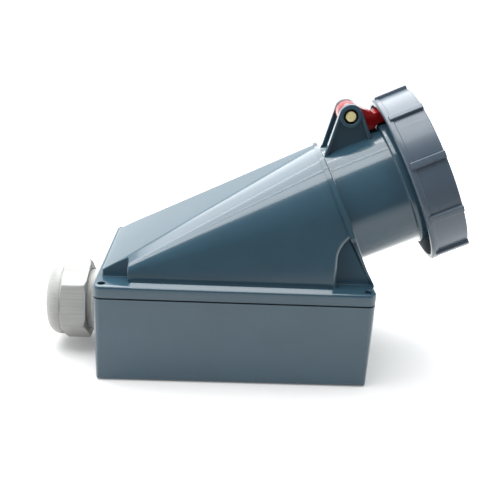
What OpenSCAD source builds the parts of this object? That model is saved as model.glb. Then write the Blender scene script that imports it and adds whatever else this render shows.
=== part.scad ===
// Surface-mounted pin-and-sleeve socket: a back box, an angled cover that carries the socket
// tube, a hinged lid with a bayonet locking ring, five contact sleeves with a pilot, and a
// cable gland. Millimetres. The wall is the XY plane, +Z points away from it, and +X runs
// towards the mouth of the socket.

/* [Back box] */
// Length of the back box and of the cover's flange
box_l = 193; // [180:1:210]
// Width of the back box and of the cover's flange
box_w = 122; // [116:1:134]
// Height of the back box from the wall to its rim
box_h = 63; // [58:1:75]
// Thickness of the back box's walls at the floor
box_wall = 3; // [2.5:0.25:4]
// Thickness of the back box's floor
box_floor = 4; // [3:0.5:6]
// Radius of the upright corners
corner_r = 6; // [4:0.5:8]
// How far each wall leans in between rim and floor
box_draft = 0.9; // [0.5:0.1:1.5]
// Radius of the rounded edge around the floor
foot_r = 3; // [1.5:0.5:4]
// Spacing of the wall screw holes along the box
wall_screw_x = 157; // [140:1:160]
// Spacing of the wall screw holes across the box
wall_screw_y = 84; // [70:1:88]
// Diameter of the wall screw holes
wall_screw_d = 6; // [5:0.5:7]
// Thickness of the seal between back box and cover
seal_t = 0.9; // [0.6:0.1:1.5]

/* [Cover] */
// Height of the cover's flange
flange_h = 8.7; // [7:0.1:12]
// Wall thickness of the hood
hood_wall = 3.5; // [3:0.25:4.5]
// Distance from the flange's long edge to the hood's side wall
hood_inset = 8.6; // [7:0.2:10]
// Distance from the flange's cable end to the hood's end wall
hood_end_inset = 4.3; // [3:0.1:6]
// Height of the hood above the flange at the cable end
hood_low_h = 4.9; // [4.5:0.1:7]
// Distance from the flange's long edge to the end of the hood's low edge
hood_low_inset = 17.3; // [15:0.1:18]
// Rounding of the hood's low end
hood_round = 1; // [0.5:0.25:3]
// Depth of the corner pockets from the flange's long edge
pocket_depth = 18; // [16:0.5:20]
// Length of the corner pockets at the cable end
pocket_low_l = 22.6; // [18:0.2:28]
// Length of the corner pockets at the socket end
pocket_high_l = 27.5; // [22:0.5:32]
// Height of the arched pockets at the socket end
pocket_arch_h = 40; // [32:1:44]
// Radius of the arch over those pockets
pocket_arch_r = 20; // [10:1:26]
// Inset of the cover screws from the flange's edges
cover_screw_inset = 5.8; // [5.4:0.1:6.6]
// Diameter of the cover screws' access holes
cover_screw_hole_d = 5.3; // [4.8:0.1:6.5]
// Height of the hood's end above the socket tube
hood_step = 4.5; // [3.5:0.25:5.5]

/* [Socket tube] */
// Tilt of the socket's axis above the wall
tilt = 25; // [22:0.5:28]
// Height above the wall of the point where the axis crosses axis_x
axis_z = 110.8; // [108:0.2:114]
// Outer radius of the socket tube
tube_r = 43.2; // [42.4:0.2:44.4]
// Wall thickness of the socket tube
tube_wall = 3.2; // [3:0.1:3.6]
// Depth of the wider mouth in front of the contact carrier
mouth_depth = 14; // [12:0.5:18]
// Length of the tube that stands out of the hood
tube_l = 63.4; // [60:0.2:67]
// Height of the collar above the tube
collar_step = 3; // [2:0.25:3.5]
// Axial length of the collar
collar_l = 8; // [6:0.5:9]
// Distance from the hood to the collar
collar_at = 42.8; // [40:0.2:44]

/* [Lid and locking ring] */
// Height of the locking ring's ribs above the socket tube
ring_rise = 19.4; // [18.4:0.2:21.6]
// Length of the locking ring along the axis
ring_l = 25.8; // [24.6:0.2:28]
// Depth of the recessed panels between the ribs
panel_depth = 2.2; // [1.6:0.1:2.6]
// Wall thickness of the locking ring behind its panels
ring_wall = 2.8; // [2:0.1:3.2]
// Number of grip ribs
rib_count = 10; // [6:1:12]
// Width of one grip rib
rib_w = 4.6; // [3:0.2:7]
// Height of the plain band above the panels, at the ring's rear
band_step = 0.7; // [0.3:0.1:1.2]
// Length of the plain band at the ring's rear
band_l = 4.2; // [3:0.2:6]
// Turn of the ring between open and locked, in degrees
lock_turn = 32; // [26:1:40]
// Angular width of a bayonet lug, in degrees
lug_angle = 24; // [16:1:26]
// Thickness of the lid's disc
lid_t = 3.9; // [3:0.1:5]
// Thickness of the lid's seal
lid_seal_t = 2.8; // [2:0.1:3.5]

/* [Hinge] */
// Distance of the hinge pin in front of the hood
pin_at = 27.4; // [26:0.2:29]
// Height of the hinge pin above the socket's axis
pin_n = 60.5; // [59:0.25:62]
// Radius of the hinge pin
pin_r = 3.4; // [2.6:0.1:3.6]
// Outer radius of the ears around the pin
ear_r = 8.2; // [7.4:0.1:9]
// Thickness of one ear
ear_t = 5; // [4:0.25:6]
// Gap between the two ears
ear_gap = 18; // [16:0.5:22]

/* [Contacts] */
// Radius of the contact carrier
carrier_r = 34.5; // [33.5:0.25:35]
// Radius of the circle that the sleeves sit on
contact_circle_r = 23; // [21:0.25:24]
// Inner radius of the phase and neutral sleeves
phase_r = 4.1; // [3.5:0.1:4.5]
// Inner radius of the earth sleeve
earth_r = 5.1; // [4.5:0.1:5.5]
// Inner radius of the pilot sleeve
pilot_r = 3.1; // [2.5:0.1:3.5]
// Wall thickness of every sleeve
sleeve_wall = 1.6; // [1.2:0.1:1.9]

/* [Cable gland] */
// Height of the gland's axis above the wall
gland_z = 34.5; // [34:0.5:37]
// Radius of the gland's thread
gland_thread_r = 20; // [18:0.5:21]
// Width of the gland nut across its flats
gland_nut_af = 53.4; // [52:0.2:56]
// Length of the gland nut's hexagon
gland_hex_l = 19; // [17:0.2:22]
// Length of the gland nut's dome
gland_dome_l = 11; // [10:0.2:14]
// Turn of the gland nut as fitted, in degrees
gland_nut_turn = 12; // [0:1:30]
// Gap between the gland's flange and its nut
gland_gap = 4; // [3:0.25:6]
// Bore of the gland's rubber seal, as a radius
cable_r = 13; // [10:0.25:13.5]
// Lead of the gland's thread in one turn
gland_lead = 2; // [1:0.25:3]

/* [Hidden] */
$fn = 96;
eps = 0.01;
slip = 0.3;      // gap between pieces that move past each other
seat = 0.05;     // gap around a screw or pin in its hole

flange_z = box_h + seal_t;
flange_top = flange_z + flange_h;
cover_screw_x = box_l / 2 - cover_screw_inset;
cover_screw_y = box_w / 2 - cover_screw_inset;
cover_screw_r = 1.5;
cover_screw_head_h = 2.5;
cover_screw_l = 24;
cover_screw_sink = 4;

hood_y = box_w / 2 - hood_inset;
hood_x = box_l / 2 - hood_end_inset;
hood_low_y = box_w / 2 - hood_low_inset;
hood_sill = 1.2;
pocket_y = box_w / 2 - pocket_depth;
pocket_low_x = -box_l / 2 + pocket_low_l;
pocket_high_x = box_l / 2 - pocket_high_l;

// The hood's face at the socket end is square to the axis and stands on the flange's end.
axis_x = 60;
face_clear = 0.6;
face_s = (box_l / 2 - face_clear - axis_x) * cos(tilt) + (flange_top - axis_z) * sin(tilt);
face_rim_t = 3;
face_rim_step = 0.8;
hood_r = tube_r + hood_step;
mouth_s = face_s + tube_l;
collar_s = face_s + collar_at;
collar_r = tube_r + collar_step;
bore_r = tube_r - tube_wall;
mouth_r = bore_r + 0.6;

pin_s = face_s + pin_at;
barrel_r = ear_r - 0.2;
barrel_w = ear_gap - 2 * 0.5;
pin_l = ear_gap + 2 * ear_t - 1;
ear_foot_back = face_s - 1;
ear_foot_front = pin_s + 8.6;
ear_foot_n = sqrt(pow(tube_r, 2) - pow(ear_gap / 2 + ear_t, 2)) - 2;
ear_rim = 1.6;
ear_web_t = 1.6;
ear_recess = ear_t - ear_web_t;
pin_recess = 2;
pad_half_w = ear_gap / 2 + ear_t + 6;
pad_n = ear_foot_n + 1;

lid_s = mouth_s + lid_seal_t;
ring_r = tube_r + ring_rise;
ring_in_r = ring_r - panel_depth - ring_wall;
lip_t = 1.6;
ring_front_s = lid_s + lid_t + slip + lip_t;
ring_back_s = ring_front_s - ring_l;
lip_r = ring_in_r - 8.5;
ridge_h = 1.5;
ridge_l = 1.6;
lid_r = ring_in_r - 0.5;
arm_half_w = barrel_w / 2 - 0.5;
arm_top_n = sqrt(pow(ring_in_r - ridge_h - slip, 2) - pow(arm_half_w, 2));
arm_low_n = collar_r + 1.2;
arm_root_n = tube_r + 2.2;
arm_root_l = 2;
arm_root_s = collar_s - arm_root_l;
lug_r = collar_r + 3.5;
lug_s = ring_back_s + 2.6;
lug_l = 4;
ramp_r = ring_in_r - 3;
ramp_s = lug_s + lug_l + 0.6;
ramp_l = 4.2;
lug_clear = 8;
rib_phase = 65.4;

carrier_flange_r = hood_r - hood_wall - 0.5;
carrier_flange_t = 4;
carrier_flat_y = pocket_y - hood_wall - 0.6;   // flats that pass between the pockets
carrier_back_s = face_s - hood_wall - carrier_flange_t;
carrier_front_s = mouth_s - mouth_depth - 0.5;
carrier_boss_r = (bore_r - carrier_r) / 2 + 0.2;
carrier_boss_at = bore_r - carrier_boss_r + 0.9;
carrier_boss_l = 12;
carrier_boss_s = face_s - hood_wall + 0.5;
carrier_screw_angles = [0, 150, 210];
carrier_screw_r = 1.2;
carrier_screw_head_r = 2.8;
carrier_screw_head_h = 2.4;
contact_front_s = carrier_front_s - 3;
sleeve_slot_l = 16;
sleeve_slot_w = 0.8;
terminal_w = 14;
terminal_l = 17;
terminal_screw_r = 2.5;
terminal_wire_r = 3.6;
earth_angle = 180;
phase_angles = [for (i = [1:4]) earth_angle + 72 * i];

gland_washer_t = 1.5;
gland_flange_t = 6;
gland_flange_r = gland_nut_af / 2 - 0.7;
gland_neck_r = gland_thread_r + 2.5;
gland_finger_r = gland_neck_r - 1.5;
gland_bore_r = cable_r + 2.5;
gland_flange_end = gland_washer_t + gland_flange_t;
gland_nut_at = gland_flange_end + gland_gap;
gland_nut_end = gland_nut_at + gland_hex_l + gland_dome_l;
gland_finger_back = 13.5;
gland_finger_end = gland_nut_end - gland_finger_back - gland_lead;
gland_finger_l = 8;
gland_finger_count = 12;
gland_slot_w = 1.6;
gland_mouth_step = 2.5;
gland_locknut_t = 6;
gland_locknut_af = 2 * gland_thread_r + 6;
gland_stub_l = 16;
seal_ring_l = 14;
seal_front = gland_nut_end - 8;

// Places
module at_axis() {
    translate([axis_x, 0, axis_z]) rotate([0, -tilt, 0]) children();
}

// Local Z runs along the socket's axis, and local -X is the top of the tube.
module along_axis(s = 0) {
    at_axis() translate([s, 0, 0]) rotate([0, 90, 0]) children();
}

// Local Z runs out of the box's cable end, and local X points away from the wall.
module at_gland(out = 0) {
    translate([-box_l / 2 - out, 0, gland_z]) rotate([0, -90, 0]) children();
}

module at_cover_screws() {
    for (x = [-1, 1], y = [-1, 1])
        translate([x * cover_screw_x, y * cover_screw_y, 0]) children();
}

module at_wall_screws() {
    for (x = [-1, 1], y = [-1, 1])
        translate([x * wall_screw_x / 2, y * wall_screw_y / 2, 0]) children();
}

// Angles round the socket's axis are counted from its top, towards -Y.
module at_contact(angle) {
    along_axis() rotate([0, 0, 180 + angle]) translate([contact_circle_r, 0, 0]) children();
}

module at_carrier_screws() {
    for (angle = carrier_screw_angles)
        along_axis() rotate([0, 0, 180 + angle]) translate([carrier_boss_at, 0, 0]) children();
}

// Shared shapes
module plate(l, w, r) {
    square([l - 2 * r, w], center = true);
    square([l, w - 2 * r], center = true);
    for (x = [-1, 1], y = [-1, 1])
        translate([x * (l / 2 - r), y * (w / 2 - r)]) circle(r);
}

module tube(r_out, r_in, l) {
    difference() {
        cylinder(r = r_out, h = l);
        translate([0, 0, -1]) cylinder(r = r_in, h = l + 2);
    }
}

// A block bent round the axis: from angle from, over angle wide, counted as at_contact counts.
module sector(r_in, r_out, s, l, from, wide) {
    along_axis(s) rotate([0, 0, 180 + from])
        rotate_extrude(angle = wide) translate([r_in, 0]) square([r_out - r_in, l]);
}

// Back box
module wall_profile(w) {
    half = w / 2 - box_draft;
    translate([-half + foot_r, 0]) square([2 * (half - foot_r), foot_r + eps]);
    polygon([[-half, foot_r], [half, foot_r], [w / 2, box_h], [-w / 2, box_h]]);
    for (x = [-1, 1]) translate([x * (half - foot_r), foot_r]) circle(foot_r);
}

module box_outside() {
    intersection() {
        linear_extrude(box_h) plate(box_l, box_w, corner_r);
        rotate([90, 0, 0]) linear_extrude(box_w + 2, center = true) wall_profile(box_l);
        rotate([90, 0, 90]) linear_extrude(box_l + 2, center = true) wall_profile(box_w);
    }
}

module box_inside() {
    inset = box_wall + box_draft;
    boss_r = wall_screw_d / 2 + 4;
    boss_h = 5;
    post_r = cover_screw_inset - 0.6;
    difference() {
        translate([0, 0, box_floor]) linear_extrude(box_h)
            plate(box_l - 2 * inset, box_w - 2 * inset, max(corner_r - inset, 1));
        at_cover_screws() cylinder(r = post_r, h = box_h);
        at_wall_screws() cylinder(r = boss_r, h = box_floor + boss_h);
    }
}

module back_box() {
    color("slategray") difference() {
        box_outside();
        box_inside();
        at_wall_screws() translate([0, 0, -1]) cylinder(d = wall_screw_d, h = box_h / 2);
        at_cover_screws() translate([0, 0, flange_top - cover_screw_sink - cover_screw_l - 2])
            cylinder(r = cover_screw_r + seat, h = cover_screw_l);
        at_gland(-box_wall - box_draft - 5) cylinder(r = gland_thread_r + seat, h = box_wall + 10);
    }
}

module box_seal() {
    inset = 0.9;
    color("black") translate([0, 0, box_h]) linear_extrude(seal_t) difference() {
        plate(box_l - 2 * inset, box_w - 2 * inset, corner_r - inset);
        plate(box_l - 2 * box_wall, box_w - 2 * box_wall, corner_r - inset);
    }
}

// Cover: flange, hood, socket tube and hinge ears, moulded as one
module hood_hull(grow, low_z) {
    round_r = max(hood_round + grow, 0.5);
    inset = round_r - grow;
    hull() {
        translate([-hood_x - grow, -hood_y - grow, low_z])
            cube([hood_x + grow + box_l / 2 - 1, 2 * (hood_y + grow), flange_top + hood_sill + grow - low_z]);
        for (y = [-1, 1])
            translate([-hood_x + inset, y * (hood_low_y + hood_round - inset), flange_top + hood_low_h - inset])
                sphere(r = round_r, $fn = 48);
        along_axis(face_s - 6) cylinder(r = hood_r + grow, h = 6, $fn = 128);
    }
}

// Room above the cover screws: a notch at the cable end, an arch at the socket end.
module pockets(grow, low_z) {
    side = box_w;
    for (y = [-1, 1]) translate([0, y * (pocket_y - grow + side / 2), low_z]) {
        translate([pocket_low_x + grow - side, -side / 2, 0]) cube([side, side, box_h]);
        rotate([90, 0, 0]) linear_extrude(side, center = true) pocket_arch(grow, flange_top - low_z);
    }
}

module pocket_arch(grow, floor_h) {
    top = floor_h + pocket_arch_h + grow;
    left = pocket_high_x - grow;
    translate([left, 0]) square([box_l, top - pocket_arch_r]);
    translate([left + pocket_arch_r, 0]) square([box_l, top]);
    translate([left + pocket_arch_r, top - pocket_arch_r]) circle(pocket_arch_r);
}

module in_front_of_face(s) {
    along_axis(s) translate([-box_l, -box_l, 0]) cube([2 * box_l, 2 * box_l, box_l]);
}

module hood() {
    difference() {
        union() {
            hood_hull(0, flange_top - 1);
            difference() {
                hood_hull(face_rim_step, flange_top - 1);
                along_axis(face_s - face_rim_t - 2 * box_l)
                    translate([-box_l, -box_l, 0]) cube([2 * box_l, 2 * box_l, 2 * box_l]);
            }
        }
        in_front_of_face(face_s);
        pockets(0, flange_top);
    }
}

module hood_cavity() {
    difference() {
        hood_hull(-hood_wall, flange_z - 1);
        in_front_of_face(face_s - hood_wall);
        pockets(hood_wall, flange_z - 2);
    }
}

module flange() {
    difference() {
        translate([0, 0, flange_z]) linear_extrude(flange_h) plate(box_l, box_w, corner_r);
        at_cover_screws() translate([0, 0, flange_z - 1])
            cylinder(r = cover_screw_r + seat, h = flange_h + 2);
        at_cover_screws() translate([0, 0, flange_top - cover_screw_sink])
            cylinder(d = cover_screw_hole_d, h = flange_h);
    }
}

function tangent(from, centre, r, side) =
    let (d = centre - from, turn = atan2(-d[1], -d[0]) + side * acos(r / norm(d)))
    centre + r * [cos(turn), sin(turn)];

// Side view of an ear, in distance along the axis and height above it.
module ear_outline(inset) {
    back = [ear_foot_back + 2 * inset, ear_foot_n];
    front = [ear_foot_front - 2 * inset, ear_foot_n];
    centre = [pin_s, pin_n];
    r = ear_r - inset;
    translate(centre) circle(r);
    polygon([back, front, tangent(front, centre, r, 1), centre, tangent(back, centre, r, -1)]);
}

module ear(side) {
    boss_r = ear_r - 0.6;
    at_axis() translate([0, side * (ear_gap + ear_t) / 2, 0]) rotate([90, 0, 0]) difference() {
        linear_extrude(ear_t, center = true) ear_outline(0);
        translate([0, 0, -side * ear_t / 2]) linear_extrude(2 * ear_recess, center = true) difference() {
            ear_outline(ear_rim);
            translate([pin_s, pin_n]) circle(boss_r);
        }
        translate([pin_s, pin_n, 0]) cylinder(r = pin_r + seat, h = 2 * ear_t, center = true);
        translate([pin_s, pin_n, -side * ear_t / 2]) cylinder(r = pin_r + 1.2, h = 2 * pin_recess, center = true);
    }
}

module hinge_pad() {
    at_axis() translate([face_s - 1, -pad_half_w, ear_foot_n - 8])
        cube([ear_foot_front + 2 - face_s, 2 * pad_half_w, pad_n - ear_foot_n + 8]);
}

module socket_tube() {
    back_s = face_s - hood_wall;
    along_axis(back_s) cylinder(r = tube_r, h = mouth_s - back_s);
    along_axis(collar_s) cylinder(r = collar_r, h = collar_l);
    for (turn = [0, 180])
        sector(tube_r - 1, ramp_r, ramp_s, ramp_l, turn + 90 - lug_angle / 2 - lug_clear - lock_turn, lock_turn);
    hinge_pad();
}

module carrier_bosses() {
    at_carrier_screws() translate([0, 0, carrier_boss_s]) difference() {
        cylinder(r = carrier_boss_r, h = carrier_boss_l);
        translate([0, 0, -1]) cylinder(r = carrier_screw_r + seat, h = carrier_boss_l);
    }
}

module socket_cover() {
    color("slategray") {
        difference() {
            union() {
                flange();
                hood();
                socket_tube();
            }
            hood_cavity();
            along_axis(face_s - hood_wall - 1) cylinder(r = bore_r, h = tube_l + hood_wall + 2);
            along_axis(mouth_s - mouth_depth) cylinder(r = mouth_r, h = mouth_depth + 1);
        }
        carrier_bosses();
        for (side = [-1, 1]) ear(side);
    }
}

module cover_screws() {
    color("silver") at_cover_screws() translate([0, 0, flange_top - cover_screw_sink]) {
        difference() {
            cylinder(r = cover_screw_hole_d / 2 - 0.15, h = cover_screw_head_h);
            translate([-0.4, -cover_screw_hole_d, cover_screw_head_h - 1])
                cube([0.8, 2 * cover_screw_hole_d, 2]);
        }
        translate([0, 0, -cover_screw_l]) cylinder(r = cover_screw_r, h = cover_screw_l + eps);
    }
}

// Contacts
module contact_carrier() {
    color("dimgray") difference() {
        union() {
            intersection() {
                along_axis(carrier_back_s) cylinder(r = carrier_flange_r, h = carrier_flange_t - seat);
                cube([4 * box_l, 2 * carrier_flat_y, 4 * box_l], center = true);
            }
            along_axis(carrier_back_s) cylinder(r = carrier_r, h = carrier_front_s - carrier_back_s);
        }
        for (angle = phase_angles) at_contact(angle) sleeve_room(phase_r);
        at_contact(earth_angle) sleeve_room(earth_r);
        along_axis() sleeve_room(pilot_r);
        key_groove();
        at_carrier_screws() translate([0, 0, carrier_back_s - 1])
            cylinder(r = carrier_screw_r + 0.3, h = carrier_flange_t + 2);
    }
}

module sleeve_room(r) {
    translate([0, 0, carrier_back_s - 1])
        cylinder(r = r + sleeve_wall + seat, h = contact_front_s - carrier_back_s + 1 + seat);
    translate([0, 0, contact_front_s - 1]) cylinder(r = r + 0.4, h = 8);
}

// The groove that takes the plug's key, at the earth contact.
module key_groove() {
    w = 7;
    depth = 2.5;
    along_axis(carrier_back_s + carrier_flange_t + 6) rotate([0, 0, 180 + earth_angle])
        translate([carrier_r - depth, -w / 2, 0]) cube([2 * depth, w, tube_l]);
}

module carrier_screws() {
    color("silver") at_carrier_screws() translate([0, 0, carrier_back_s - carrier_screw_head_h]) {
        cylinder(r = carrier_screw_head_r, h = carrier_screw_head_h);
        cylinder(r = carrier_screw_r, h = carrier_screw_head_h + carrier_flange_t + carrier_boss_l - 4);
    }
}

// A sleeve with its slotted mouth and, behind the carrier, the block that clamps the wire.
module sleeve(r) {
    r_out = r + sleeve_wall;
    w = max(terminal_w * r / phase_r * 0.9, 2 * r_out);
    back = carrier_back_s - terminal_l;
    color("gold") difference() {
        union() {
            translate([0, 0, carrier_back_s - 1]) cylinder(r = r_out, h = contact_front_s - carrier_back_s + 1);
            translate([-w / 2, -w / 2, back]) cube([w, w, terminal_l]);
        }
        translate([0, 0, carrier_back_s + 8]) cylinder(r = r, h = tube_l);
        translate([0, 0, back - 1]) cylinder(r = min(terminal_wire_r, r), h = terminal_l - 2);
        translate([0, 0, back + terminal_l / 2]) rotate([0, 90, 0])
            cylinder(r = terminal_screw(r) + seat, h = w);
        for (turn = [0, 90]) rotate([0, 0, turn])
            translate([-sleeve_slot_w / 2, -r_out - 1, contact_front_s - sleeve_slot_l])
                cube([sleeve_slot_w, 2 * r_out + 2, sleeve_slot_l + 1]);
    }
}

function terminal_screw(r) = terminal_screw_r * r / phase_r;

// The clamp screw stands in the outer side of its block.
module clamp_screw(r) {
    w = max(terminal_w * r / phase_r * 0.9, 2 * (r + sleeve_wall));
    at = min(terminal_wire_r, r) * 0.4;
    translate([0, 0, carrier_back_s - terminal_l / 2]) rotate([0, 90, 0])
        translate([0, 0, at]) cylinder(r = terminal_screw(r), h = w / 2 - at);
}

module sleeve_l1() { at_contact(phase_angles[0]) sleeve(phase_r); }
module sleeve_l2() { at_contact(phase_angles[1]) sleeve(phase_r); }
module sleeve_l3() { at_contact(phase_angles[2]) sleeve(phase_r); }
module sleeve_neutral() { at_contact(phase_angles[3]) sleeve(phase_r); }
module sleeve_earth() { at_contact(earth_angle) sleeve(earth_r); }
module sleeve_pilot() { along_axis() rotate([0, 0, 90]) sleeve(pilot_r); }

module terminal_screws() {
    color("silver") {
        for (angle = phase_angles) at_contact(angle) clamp_screw(phase_r);
        at_contact(earth_angle) clamp_screw(earth_r);
        along_axis() rotate([0, 0, 90]) clamp_screw(pilot_r);
    }
}

// Lid, its hinge and the locking ring
module hinge_pin() {
    color("goldenrod") at_axis() translate([pin_s, 0, pin_n]) rotate([90, 0, 0])
        cylinder(r = pin_r, h = pin_l, center = true);
}

module lid_arm() {
    at_axis() rotate([90, 0, 0]) linear_extrude(2 * arm_half_w, center = true) polygon([
        [pin_s, pin_n - barrel_r], [pin_s + barrel_r * 0.6, arm_root_n], [arm_root_s, arm_root_n],
        [collar_s, arm_low_n], [lid_s + lid_t / 2, arm_low_n], [lid_s + lid_t / 2, arm_top_n],
        [ring_back_s - 3, arm_top_n], [pin_s + barrel_r * 0.6, pin_n + barrel_r * 0.7], [pin_s, pin_n]]);
    at_axis() translate([pin_s, 0, pin_n]) rotate([90, 0, 0])
        cylinder(r = barrel_r, h = barrel_w, center = true);
}

module lid() {
    step_r = lip_r - 4;
    step_h = 1.6;
    color("firebrick") difference() {
        union() {
            along_axis(lid_s) cylinder(r = lid_r, h = lid_t);
            along_axis(lid_s + lid_t - eps) cylinder(r1 = step_r, r2 = step_r - step_h, h = step_h);
            lid_arm();
        }
        along_axis(lid_s - 1) cylinder(r = bore_r - 3, h = 2);
        at_axis() translate([pin_s, 0, pin_n]) rotate([90, 0, 0])
            cylinder(r = pin_r + 2 * seat, h = ear_gap + 2, center = true);
    }
}

module lid_seal() {
    lip = 1.2;
    color("black") along_axis(mouth_s + slip / 2)
        tube(tube_r + lip, bore_r - lip, lid_seal_t - slip / 2);
}

module locking_ring() {
    panel_r = ring_r - panel_depth;
    rib_angle = rib_w / ring_r * 180 / PI;
    color("slategray") {
        along_axis(ring_back_s) rotate_extrude() {
            translate([ring_in_r, 0]) square([panel_r - ring_in_r, ring_l]);
            translate([ring_in_r, 0]) square([panel_r + band_step - ring_in_r, band_l]);
            translate([lip_r, ring_l - lip_t]) square([panel_r - lip_r, lip_t]);
            translate([ring_in_r - ridge_h, lid_s - ridge_l - slip - ring_back_s])
                square([ridge_h + eps, ridge_l]);
        }
        for (i = [0:rib_count - 1])
            sector(panel_r - 1, ring_r, ring_back_s + band_l / 2, ring_l - band_l / 2 - seat,
                rib_phase - rib_angle / 2 + i * 360 / rib_count, rib_angle);
        for (turn = [0, 180])
            sector(lug_r, ring_in_r + 1, lug_s, lug_l, turn + 90 - lug_angle / 2, lug_angle);
    }
}

// Cable gland
module gland_washer() {
    color("black") at_gland() tube(gland_flange_r - 1.5, gland_thread_r + seat, gland_washer_t);
}

module gland_body() {
    neck_l = gland_finger_end - gland_finger_l - gland_flange_end;
    color("whitesmoke") at_gland() difference() {
        union() {
            translate([0, 0, -box_wall - box_draft - gland_stub_l])
                cylinder(r = gland_thread_r, h = box_wall + box_draft + gland_stub_l + gland_washer_t);
            translate([0, 0, gland_washer_t]) cylinder(r = gland_flange_r, h = gland_flange_t);
            translate([0, 0, gland_flange_end]) cylinder(r = gland_neck_r, h = neck_l);
            translate([0, 0, gland_flange_end + neck_l - eps])
                cylinder(r = gland_finger_r, h = gland_finger_l);
        }
        translate([0, 0, -box_l / 4]) cylinder(r = gland_bore_r, h = box_l / 2);
        for (i = [0:gland_finger_count / 2 - 1]) rotate([0, 0, (i + 0.5) * 360 / gland_finger_count])
            translate([-gland_slot_w / 2, -gland_neck_r - 1, gland_finger_end - gland_finger_l + 1])
                cube([gland_slot_w, 2 * gland_neck_r + 2, gland_finger_l + 1]);
    }
}

module gland_locknut() {
    color("whitesmoke") at_gland(-box_wall - box_draft - gland_locknut_t) difference() {
        rotate([0, 0, 30]) cylinder(d = gland_locknut_af / cos(30), h = gland_locknut_t, $fn = 6);
        translate([0, 0, -1]) cylinder(r = gland_thread_r + seat, h = gland_locknut_t + 2);
    }
}

// The rubber bush that grips the cable is carried in by the nut as it is screwed down.
module gland_seal() {
    color("black") at_gland(seal_front - seal_ring_l)
        tube(gland_bore_r - 0.4, cable_r, seal_ring_l - slip);
}

module dome_profile() {
    r = gland_nut_af / 2 - 1.2;
    nose_r = 7;
    square([r, gland_dome_l - nose_r]);
    square([r - nose_r, gland_dome_l]);
    translate([r - nose_r, gland_dome_l - nose_r]) circle(nose_r);
}

module gland_nut() {
    chamfer = 2.2;
    corner = gland_nut_af / 2 / cos(30);
    shoulder = seal_front - gland_nut_at;
    color("whitesmoke") at_gland(gland_nut_at) difference() {
        union() {
            rotate([0, 0, gland_nut_turn]) intersection() {
                cylinder(r = corner, h = gland_hex_l, $fn = 6);
                union() {
                    cylinder(r1 = corner - chamfer, r2 = corner, h = chamfer);
                    translate([0, 0, chamfer]) cylinder(r = corner, h = gland_hex_l - 2 * chamfer);
                    translate([0, 0, gland_hex_l - chamfer])
                        cylinder(r1 = corner, r2 = corner - chamfer, h = chamfer);
                }
            }
            translate([0, 0, gland_hex_l - eps]) rotate_extrude() intersection() {
                dome_profile();
                square(gland_nut_af);
            }
        }
        translate([0, 0, -1]) cylinder(r = gland_neck_r + seat, h = shoulder + 1 - 4);
        translate([0, 0, shoulder - 4 - eps])
            cylinder(r1 = gland_neck_r + seat, r2 = gland_bore_r, h = 4);
        translate([0, 0, shoulder - 1]) cylinder(r = gland_bore_r - 1.2, h = gland_dome_l);
        translate([0, 0, gland_hex_l + gland_dome_l - gland_mouth_step])
            cylinder(r1 = gland_bore_r - 1.2, r2 = gland_bore_r - 1.2 + gland_mouth_step, h = gland_mouth_step + eps);
    }
}

back_box();
box_seal();
socket_cover();
cover_screws();
contact_carrier();
carrier_screws();
sleeve_l1();
sleeve_l2();
sleeve_l3();
sleeve_neutral();
sleeve_earth();
sleeve_pilot();
terminal_screws();
hinge_pin();
lid();
lid_seal();
locking_ring();
gland_washer();
gland_body();
gland_locknut();
gland_seal();
gland_nut();
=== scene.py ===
"""Looks of the surface mount pin and sleeve socket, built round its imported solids."""

import math
from contextlib import contextmanager

import bmesh
import bpy
from bpy.props import FloatProperty, FloatVectorProperty, IntProperty, PointerProperty
from mathutils import Matrix, Vector


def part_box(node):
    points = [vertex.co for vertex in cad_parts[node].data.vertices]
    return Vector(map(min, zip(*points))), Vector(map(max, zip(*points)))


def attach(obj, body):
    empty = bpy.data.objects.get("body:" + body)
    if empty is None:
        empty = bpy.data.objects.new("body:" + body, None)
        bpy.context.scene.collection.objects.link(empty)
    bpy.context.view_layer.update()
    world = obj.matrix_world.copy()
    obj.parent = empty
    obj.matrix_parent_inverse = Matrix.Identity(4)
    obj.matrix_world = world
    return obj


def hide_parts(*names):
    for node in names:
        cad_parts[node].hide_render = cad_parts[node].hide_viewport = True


bl_info = {
    "name": "Pin and Sleeve Socket",
    "version": (1, 0, 0),
    "blender": (4, 5, 0),
    "location": "View3D > Sidebar > Socket",
    "description": "Dresses the packed surface mount socket: mouldings, ring, lid, gland and contacts",
    "category": "Object",
}

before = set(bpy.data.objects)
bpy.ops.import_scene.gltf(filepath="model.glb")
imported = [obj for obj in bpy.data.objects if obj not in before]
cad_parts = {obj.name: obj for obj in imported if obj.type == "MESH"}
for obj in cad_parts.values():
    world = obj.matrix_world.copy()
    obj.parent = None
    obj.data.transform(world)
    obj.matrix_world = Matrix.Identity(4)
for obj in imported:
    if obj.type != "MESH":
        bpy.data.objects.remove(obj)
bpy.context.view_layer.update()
BOX_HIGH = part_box("back_box")[1]
SEAL_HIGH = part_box("box_seal")[1]

# How far a piece reaches into the one it stands on
SINK = 0.001
# Halves of a pair, near and far or left and right
SIDES = (-1, 1)


def length(name, description, default):
    """A size in metres that shows as a length in the sidebar."""
    return FloatProperty(name=name, description=description, default=default, unit="LENGTH", precision=5)


def angle(name, description, degrees):
    """A turn given in degrees that shows as an angle in the sidebar."""
    return FloatProperty(name=name, description=description, default=math.radians(degrees), subtype="ANGLE")


def colour(name, description, default):
    """A linear colour with no alpha."""
    return FloatVectorProperty(
        name=name, description=description, default=default, subtype="COLOR", size=3, min=0, max=1)


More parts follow.
